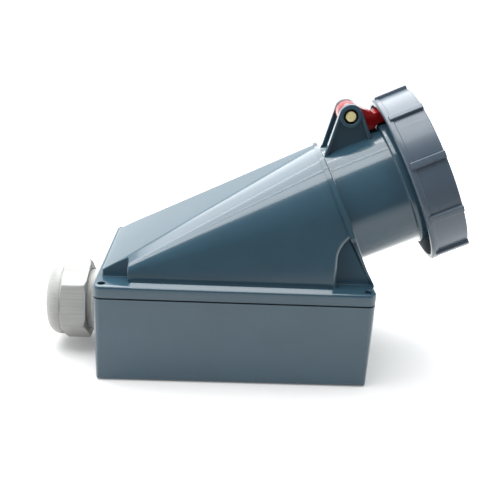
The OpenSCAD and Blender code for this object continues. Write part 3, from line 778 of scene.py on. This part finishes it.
class SOCKET_OT_hood(bpy.types.Operator):
    """Build the hood that runs from the flange up to the socket tube"""
    bl_idname = "socket.hood"
    bl_label = "Hood"

    def execute(self, context):
        c = settings().cover
        face = face_s()
        rim_proud, rim_inward = 0.0004, 0.0003
        hood = self.form("hood", 0.0, face - rim_proud, None)
        rim = self.form("hood_rim", c.rim_step, face, face - c.rim_t)
        for piece, inward in ((hood, 0.0), (rim, rim_inward)):
            carve(piece, self.pockets(inward) + [self.bore(face)])
            self.merge_flats(piece)
        self.weigh_edges(hood)
        rounding = soften(hood, c.arch_round, 6)
        rounding.limit_method = "WEIGHT"
        rounding.use_clamp_overlap = False
        soften(rim, 0.0007, 4, 28, harden=False)
        for piece in (hood, rim):
            finish_moulding(piece)
            piece.data.shade_smooth()
        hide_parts("socket_cover")
        return {"FINISHED"}

    def form(self, name, grow, cut, behind):
        """The hull of the sill, the straight low edge and the disc at the tube, cut at the face."""
        c, t = settings().cover, settings().tube
        face, top = face_s(), flange_top()
        hood_x = c.half_l - c.hood_end_inset
        hood_y = c.half_w - c.hood_inset
        feet = [(y, z) for z in (top - SINK, top + c.hood_sill + grow) for y in SIDES]
        points = [Vector((c.half_l - SINK, y * (hood_y + grow), z)) for y, z in feet]
        for y, z in feet:
            for a, b in quarter(8):
                x = -hood_x - grow + c.hood_round * (1 - a)
                points.append(Vector((x, y * (hood_y + grow - c.hood_round * (1 - b)), z)))
        for y in SIDES:
            centre = Vector((-hood_x + c.hood_round, y * (c.half_w - c.hood_low_inset),
                             top + c.hood_low_h - c.hood_round))
            points += self.ball(centre, c.hood_round + grow)
        radius = t.tube_r + c.hood_step + grow
        disc_back, segments = 0.006, 256
        for i in range(segments):
            for s in (face - disc_back, face + SINK):
                points.append(round_axis(s, radius, 2 * math.pi * i / segments))
        shape = bmesh.new()
        for p in points:
            shape.verts.new(p)
        made = bmesh.ops.convex_hull(shape, input=shape.verts)
        spare = {v for key in ("geom_interior", "geom_unused") for v in made[key]
                 if isinstance(v, bmesh.types.BMVert)}
        bmesh.ops.delete(shape, geom=list(spare), context="VERTS")
        self.cut_off(shape, on_axis(cut, 0, 0), axis_direction())
        if behind is not None:
            self.cut_off(shape, on_axis(behind, 0, 0), -axis_direction())
        mesh = bpy.data.meshes.new(name)
        shape.to_mesh(mesh)
        shape.free()
        return add_object(name, mesh)

    def ball(self, centre, radius):
        """Points on a ball, without its lowest."""
        rows, columns = 24, 48
        points = []
        for i in range(1, rows):
            lift = math.pi * i / rows
            for x, y in circle(math.sin(lift), columns):
                points.append(centre + radius * Vector((x, y, math.cos(lift))))
        points.append(centre + Vector((0, 0, radius)))
        return points

    def cut_off(self, shape, point, direction):
        """Keeps what lies behind a plane and closes the cut."""
        geometry = list(shape.verts) + list(shape.edges) + list(shape.faces)
        made = bmesh.ops.bisect_plane(
            shape, geom=geometry, plane_co=point, plane_no=direction, clear_outer=True)
        rim = [e for e in made["geom_cut"] if isinstance(e, bmesh.types.BMEdge)]
        bmesh.ops.edgeloop_fill(shape, edges=rim)
        bmesh.ops.recalc_face_normals(shape, faces=shape.faces)

    def pockets(self, inward):
        """The room over the cover screws, as cutters."""
        c = settings().cover
        top = flange_top()
        reach, low_h = 0.1, 0.03
        foot = top - SINK / 2
        low_x = -c.half_l + c.pocket_low_l
        high_x = c.half_l - c.pocket_high_l
        low_top = top + low_h
        arch_top = top + c.pocket_arch_h
        low = fillet([
            (low_x - reach, foot, 0), (low_x, foot, 0), (low_x, low_top, 0), (low_x - reach, low_top, 0)])
        high = fillet([
            (high_x, foot, 0), (high_x + reach, foot, 0), (high_x + reach, arch_top, 0),
            (high_x, arch_top, c.pocket_arch_r)], 24)
        far = c.half_w + reach / 2
        draft = math.tan(c.pocket_draft)
        cutters = []
        for outline in (low, high):
            for side in SIDES:
                def place(u, v, w, side=side):
                    near = c.half_w - c.pocket_depth - inward - (v - top) * draft
                    return (u, side * lerp(near, far, w), v)
                cutters.append(prism("pocket", outline, place, 0, 1))
        return cutters

    def bore(self, face):
        """The room for the tube in the hood's face, as a cutter."""
        depth, reach = 0.0032, 0.004
        outline = circle(settings().tube.tube_r - SINK, 96)
        return prism("bore", outline, lambda u, v, w: on_axis(w, v, u), face - depth, face + reach)

    def merge_flats(self, piece):
        """Merges the flat parts of the hull into single faces."""
        with edited(piece.data) as shape:
            bmesh.ops.remove_doubles(shape, verts=shape.verts, dist=0.00001)
            bmesh.ops.dissolve_limit(
                shape, angle_limit=math.radians(0.3), verts=shape.verts, edges=shape.edges)

    def weigh_edges(self, piece):
        """Marks the hood's hard edges: full rounding at the arched pockets, less elsewhere."""
        c = settings().cover
        hard, elsewhere = math.radians(28), 0.3
        high_x = c.half_l - c.pocket_high_l - SINK
        wall_y = c.half_w - c.pocket_depth + 0.0008
        with edited(piece.data) as shape:
            weight = shape.edges.layers.float.new("bevel_weight_edge")
            for edge in shape.edges:
                if edge.calc_face_angle(0) < hard:
                    continue
                arch = all(v.co.x > high_x and abs(v.co.y) > wall_y for v in edge.verts)
                edge[weight] = 1.0 if arch else elsewhere


class SOCKET_OT_tube(bpy.types.Operator):
    """Build the socket tube with its collar, mouth and bayonet ramps"""
    bl_idname = "socket.tube"
    bl_label = "Socket tube"

    def execute(self, context):
        t = settings().tube
        face = face_s()
        root = face - 0.003
        mouth = face + t.tube_l
        step = mouth - t.mouth_depth
        mouth_r = t.bore_r + t.mouth_step
        collar = face + t.collar_at
        collar_end = collar + t.collar_l
        collar_r = t.tube_r + t.collar_step
        profile = fillet([
            (root, t.tube_r, 0), (collar, t.tube_r, 0.0006), (collar, collar_r, 0.0009),
            (collar_end, collar_r, 0.0009), (collar_end, t.tube_r, 0.0006),
            (mouth, t.tube_r, 0.0008), (mouth, mouth_r, 0.0006),
            (step, mouth_r, 0), (step, t.bore_r, 0), (root, t.bore_r, 0)], 4)
        finish_moulding(lathe("socket_tube", profile, on_axis, 192), 40)
        self.root_fillet(face)
        self.ramps()
        return {"FINISHED"}

    def root_fillet(self, face):
        """The small fillet where the tube leaves the hood's face."""
        t = settings().tube
        r = t.root_r
        back, low = face - 0.0005, t.tube_r - 0.0006
        profile = [(back, low), (back, t.tube_r + r)]
        profile += [(face + r - r * a, t.tube_r + r - r * b) for a, b in quarter(6)]
        profile.append((face + r, low))
        finish_moulding(lathe("tube_root", profile, on_axis, 192), 60)

    def ramps(self):
        """The two bayonet ramps that the ring's lugs run behind."""
        t, g = settings().tube, settings().ring
        clearance, head_room = 0.0006, 0.003
        start = ring_ends()[0] + g.lug_at + g.lug_l + clearance
        end = start + g.ramp_l
        low = t.tube_r - SINK
        high = g.ring_r - g.panel_depth - g.wall - head_room
        profile = fillet([(start, low, 0), (start, high, 0.0006), (end, high, 0.0006), (end, low, 0)], 3)
        first = math.pi / 2 - g.lug_sweep / 2 - g.ramp_gap - g.ramp_sweep
        finish_moulding(opposite_sectors("bayonet_ramps", profile, first, g.ramp_sweep, 16))


class SOCKET_OT_hinge(bpy.types.Operator):
    """Build the hinge ears and their pad, the dark rings in the pin recesses and the dark rubber block under
    the lid's arm, both painted shade, and finish the brass pin
    """
    bl_idname = "socket.hinge"
    bl_label = "Hinge ears and pin"

    def execute(self, context):
        h, t = settings().hinge, settings().tube
        face = face_s()
        outer = h.ear_gap / 2 + h.ear_t
        foot_n = math.sqrt(t.tube_r ** 2 - outer ** 2) - 2 * SINK
        for side, name in zip(SIDES, ("near", "far")):
            self.ear(name, side, face, foot_n)
            self.boss(name, side, face)
            # A dark rubber ring in each pin recess: painted shade for the recess's shadow.
            self.painted_shade_ring(name, side, face)
        self.block("hinge_pad", outer + 0.0003, foot_n - 0.006, foot_n + SINK,
                   face - SINK, face + h.foot_l + SINK, "housing_plastic", "housing")
        # A black rubber block under the lid's arm: painted shade filling the gap where the arm's shadow
        # falls.
        start = face + h.shade_block_at
        self.block("lid_shade_block", h.shade_block_w / 2, t.tube_r - 0.0017, t.tube_r + h.shade_block_h,
                   start, start + h.shade_block_l, "seal_rubber", "rubber")
        dress_node("hinge_pin", "bright_brass", 0.0005, 3)
        return {"FINISHED"}

    def outline(self, face, foot_n, inset, steps=28):
        """Side view of an ear: two feet, and an arc round the pin between its tangents."""
        h = settings().hinge
        back = Vector((face - SINK + 2 * inset, foot_n))
        front = Vector((face + h.foot_l - 2 * inset, foot_n))
        centre = Vector((face + h.pin_at, h.pin_n))
        r = h.ear_r - inset
        arc = []
        for foot, side in ((front, 1), (back, -1)):
            d = foot - centre
            arc.append(math.atan2(d.y, d.x) + side * math.acos(r / d.length))
        start, end = arc
        while end < start:
            end += 2 * math.pi
        points = [tuple(back), tuple(front)]
        for k in range(steps + 1):
            turn = lerp(start, end, k / steps)
            points.append(tuple(centre + r * Vector((math.cos(turn), math.sin(turn)))))
        return points

    def ear(self, name, side, face, foot_n):
        """An ear with a raised rim round a recessed web."""
        h = settings().hinge
        inner = side * h.ear_gap / 2
        outer = side * (h.ear_gap / 2 + h.ear_t)
        web_inner, web_outer = inner + side * 0.0002, outer - side * h.ear_recess
        wide = self.outline(face, foot_n, 0)
        narrow = self.outline(face, foot_n, h.ear_rim)
        rings = [[on_axis(u, y, v) for u, v in loop] for loop, y in
                 ((narrow, inner), (wide, inner), (wide, outer), (narrow, outer))]
        rim = mesh_object("ear_" + name, *skin(rings, close_rings=True))
        web = prism("web", self.outline(face, foot_n, h.ear_rim * 0.6),
                    lambda u, v, w: on_axis(u, w, v), web_inner, web_outer)
        ear = join([rim, web])
        soften(ear, 0.0005, 3, 40)
        finish_moulding(ear)
        ear.data.shade_smooth()

    def boss(self, name, side, face):
        """The ring round the pin, with the recess that the pin's end stands in."""
        h = settings().hinge
        hole, recess, r = h.pin_r + h.pin_clear, h.pin_r + h.recess_w, h.ear_r - 0.0006
        low = h.ear_gap / 2 + 0.0002
        high = h.ear_gap / 2 + h.ear_t + 0.0001
        floor = high - h.recess_d
        profile = fillet([
            (low, hole, 0), (low, r, 0), (high, r, 0.0006), (high, recess, 0.0004),
            (floor, recess, 0), (floor, hole, 0)], 4)
        finish_moulding(self.round_pin("ear_boss_" + name, side, face, profile), 50)

    def painted_shade_ring(self, name, side, face):
        """A dark rubber ring round the pin's end at the bottom of the recess: painted shade standing for the
        recess's shadow.
        """
        h = settings().hinge
        hole, recess, half_t = h.pin_r + h.pin_clear, h.pin_r + h.recess_w, 0.0003
        floor = h.ear_gap / 2 + h.ear_t - 0.0021
        low, high = floor - half_t, floor + half_t
        profile = fillet([(low, hole, 0), (low, recess, 0), (high, recess, 0), (high, hole, 0.0002)], 3)
        painted_shade_ring = self.round_pin("pin_painted_shade_ring_" + name, side, face, profile)
        finish_piece(painted_shade_ring, "seal_rubber", "housing")

    def round_pin(self, name, side, face, profile):
        """A profile turned round the hinge pin on one side."""
        h = settings().hinge
        return lathe(name, profile, lambda w, u, v: on_axis(face + h.pin_at + u, side * w, h.pin_n + v), 72)

    def block(self, name, half_w, low, high, start, end, finish, slot):
        """A block on the tube with rounded upper edges."""
        edge_r = 0.0008
        outline = fillet([
            (-half_w, low, 0), (half_w, low, 0), (half_w, high, edge_r), (-half_w, high, edge_r)], 4)
        block = prism(name, outline, lambda u, v, w: on_axis(w, u, v), start, end)
        soften(block, 0.0004, 2, 50)
        finish_piece(block, finish, "housing")


class SOCKET_OT_ring(bpy.types.Operator):
    """Build the locking ring with its panels, ribs, band and lugs"""
    bl_idname = "socket.ring"
    bl_label = "Locking ring"

    def execute(self, context):
        g = settings().ring
        back, front = ring_ends()
        band_end = back + g.band_l
        panel_r = g.ring_r - g.panel_depth
        band_r = panel_r + g.band_step
        in_r = panel_r - g.wall
        lip_r = in_r - g.lip_w
        lip_back = front - g.lip_t
        profile = fillet([
            (back, in_r, 0.0005), (back, band_r, 0.0016), (band_end, band_r, 0.0004),
            (band_end, panel_r, 0.0003), (front, panel_r, 0.0011), (front, lip_r, 0.0005),
            (lip_back, lip_r, 0.0004), (lip_back, in_r, 0.0004)], 4)
        ring = lathe("locking_ring_body", profile, on_axis, 216)
        finish_piece(ring, "ring_plastic", "ring", 45)
        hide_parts("locking_ring")
        self.ribs(back + g.band_l * 0.55, front - 0.0001, panel_r)
        self.lugs(back, in_r)
        return {"FINISHED"}

    def ribs(self, start, end, panel_r):
        """The grip ribs, a little wider at the foot than at the top."""
        g = settings().ring
        half = g.rib_w / 2
        foot, low = half + 0.0003, panel_r - 0.0012
        outline = fillet([
            (-foot, low, 0), (foot, low, 0), (half, g.ring_r, 0.0006), (-half, g.ring_r, 0.0006)])
        made = []
        for i in range(g.rib_count):
            turn = g.rib_phase + 2 * math.pi * i / g.rib_count
            c, k = math.cos(turn), math.sin(turn)
            place = lambda u, v, w, c=c, k=k: on_axis(w, -v * k - u * c, v * c - u * k)
            made.append(prism("grip_ribs", outline, place, start, end))
        ribs = join(made)
        soften(ribs, 0.0005, 3, 50)
        finish_piece(ribs, "ring_plastic", "ring")
        ribs.data.shade_smooth()

    def lugs(self, back, in_r):
        """The two lugs inside the ring that lock behind the ramps."""
        t, g = settings().tube, settings().ring
        collar_room = 0.0035
        low, high = t.tube_r + t.collar_step + collar_room, in_r + SINK
        start = back + g.lug_at
        end = start + g.lug_l
        profile = fillet([(start, low, 0.0005), (end, low, 0.0005), (end, high, 0), (start, high, 0)], 3)
        first = math.pi / 2 - g.lug_sweep / 2
        lugs = opposite_sectors("bayonet_lugs", profile, first, g.lug_sweep, 12)
        finish_piece(lugs, "ring_plastic", "ring")


class SOCKET_OT_lid(bpy.types.Operator):
    """Finish the hinged lid and its seal"""
    bl_idname = "socket.lid"
    bl_label = "Lid and seal"

    def execute(self, context):
        dress_node("lid", "lid_plastic", 0.0006, 3)
        dress_node("lid_seal", "seal_rubber", 0.0004)
        return {"FINISHED"}


class SOCKET_OT_gland(bpy.types.Operator):
    """Build the gland's dome nut and finish its other pieces"""
    bl_idname = "socket.gland"
    bl_label = "Cable gland"

    def execute(self, context):
        nut = self.nut()
        finish_piece(nut, "gland_nylon", "gland_nut", 40)
        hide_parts("gland_nut")
        dress_node("gland_body", "gland_nylon", 0.0009, 3)
        dress_node("gland_locknut", "gland_nylon", 0.0005)
        dress_node("gland_washer", "seal_rubber", 0.0003)
        dress_node("gland_seal", "seal_rubber", 0.0006, 3)
        return {"FINISHED"}

    def nut(self):
        """A hexagon with rounded arrises and turned chamfers that runs into a smooth dome."""
        g = settings().gland
        flat = g.across_flats / 2
        segments = 288
        rings = []
        for along, limit in self.outside(flat) + self.inside():
            ring = []
            for i in range(segments):
                turn = 2 * math.pi * i / segments
                radius = limit if along >= g.hex_l else self.reach(turn, flat, limit)
                ring.append(self.place(along, radius, turn))
            rings.append(ring)
        return mesh_object("gland_dome_nut", *skin(rings, close_rings=True))

    def outside(self, flat):
        """Rows of (along, radius) from the rear face over the hexagon and the dome to the nose."""
        g = settings().gland
        corner = flat / math.cos(math.pi / 6)
        dome_r = flat + g.dome_step
        shares = [k / 4 for k in range(5)]
        rows = [(0.0, flat - 0.0012)]
        rows += [(0.0002 + 0.0012 * k, lerp(corner - 0.0022, corner, k)) for k in shares]
        rows += [(0.0014 + (g.hex_l - 0.0032) * k / 6, corner) for k in range(1, 6)]
        rows += [(g.hex_l - 0.0018 + 0.0017 * k, lerp(corner, dome_r - 0.0001, k)) for k in shares]
        rows += [(g.hex_l, dome_r - 0.0002), (g.hex_l + 0.0003, dome_r), (g.hex_l + 0.0012, dome_r)]
        nose = g.hex_l + g.dome_l - g.nose_r
        return rows + [(nose + g.nose_r * b, dome_r - g.nose_r * (1 - a)) for a, b in quarter(12)]

    def inside(self):
        """Rows of (along, radius) from the nose through the bore to the room for the neck."""
        g = settings().gland
        end = g.hex_l + g.dome_l
        return [
            (end, g.bore_r + 0.0024), (end - 0.0003, g.bore_r + 0.0018), (end - 0.0024, g.bore_r),
            (end - 0.0080, g.bore_r), (end - 0.0080, g.bore_r + 0.0012), (end - 0.0120, g.neck_r),
            (0.0006, g.neck_r), (0.0, g.neck_r + 0.0006)]

    def reach(self, turn, flat, limit):
        """The smaller of the hexagon's and the turned form's radius, blended where they meet."""
        step, soft = math.pi / 3, 0.0005
        local = (turn - settings().gland.turn + step / 2) % step - step / 2
        hexagon = flat / math.cos(step / 2 - abs(local))
        gap = abs(hexagon - limit)
        if gap < soft:
            return min(hexagon, limit) - (soft - gap) ** 2 / (4 * soft)
        return min(hexagon, limit)

    def place(self, along, radius, turn):
        g, c = settings().gland, settings().cover
        x = -c.half_l - g.nut_at - along
        return Vector((x, radius * math.sin(turn), g.axis_z + radius * math.cos(turn)))


class SOCKET_OT_contacts(bpy.types.Operator):
    """Finish the contact carrier and the sleeves"""
    bl_idname = "socket.contacts"
    bl_label = "Contacts"

    def execute(self, context):
        dress_node("contact_carrier", "carrier_plastic", 0.0004)
        for name in ("l1", "l2", "l3", "neutral", "earth", "pilot"):
            dress_node("sleeve_" + name, "brass", 0.0002)
        return {"FINISHED"}


class SOCKET_OT_screws(bpy.types.Operator):
    """Finish the cover, carrier and terminal screws"""
    bl_idname = "socket.screws"
    bl_label = "Screws"

    def execute(self, context):
        dress_node("cover_screws", "black_steel", 0.0002)
        dress_node("carrier_screws", "zinc_steel", 0.0002)
        dress_node("terminal_screws", "zinc_steel", 0.0002)
        return {"FINISHED"}


class SocketSettings(bpy.types.PropertyGroup):
    """All sizes and colours of the socket."""
    cover: PointerProperty(type=CoverSizes)
    tube: PointerProperty(type=TubeSizes)
    ring: PointerProperty(type=RingSizes)
    hinge: PointerProperty(type=HingeSizes)
    gland: PointerProperty(type=GlandSizes)
    finishes: PointerProperty(type=Finishes)
    stage: PointerProperty(type=StageSettings)


OPERATORS = (
    SOCKET_OT_stage, SOCKET_OT_box, SOCKET_OT_flange, SOCKET_OT_hood, SOCKET_OT_tube, SOCKET_OT_hinge,
    SOCKET_OT_ring, SOCKET_OT_lid, SOCKET_OT_gland, SOCKET_OT_contacts, SOCKET_OT_screws,
)


class SOCKET_PT_sidebar(bpy.types.Panel):
    """Lists the socket's pieces and their sizes."""
    bl_label = "Pin and sleeve socket"
    bl_idname = "SOCKET_PT_sidebar"
    bl_space_type = "VIEW_3D"
    bl_region_type = "UI"
    bl_category = "Socket"

    def draw(self, context):
        for operator in OPERATORS:
            self.layout.operator(operator.bl_idname)
        for name in SocketSettings.__annotations__:
            group = getattr(context.scene.socket_settings, name)
            box = self.layout.box()
            box.label(text=name.capitalize())
            for key in group.__annotations__:
                box.prop(group, key)


CLASSES = (
    CoverSizes, TubeSizes, RingSizes, HingeSizes, GlandSizes, Finishes, StageSettings, SocketSettings,
    *OPERATORS, SOCKET_PT_sidebar,
)


def register():
    for cls in CLASSES:
        bpy.utils.register_class(cls)
    bpy.types.Scene.socket_settings = PointerProperty(type=SocketSettings)


def unregister():
    del bpy.types.Scene.socket_settings
    for cls in reversed(CLASSES):
        bpy.utils.unregister_class(cls)


def main():
    register()
    bpy.ops.socket.stage()
    bpy.ops.socket.box()
    bpy.ops.socket.flange()
    bpy.ops.socket.hood()
    bpy.ops.socket.tube()
    bpy.ops.socket.hinge()
    bpy.ops.socket.ring()
    bpy.ops.socket.lid()
    bpy.ops.socket.gland()
    bpy.ops.socket.contacts()
    bpy.ops.socket.screws()
    bpy.context.view_layer.update()


if __name__ == "__main__":
    main()
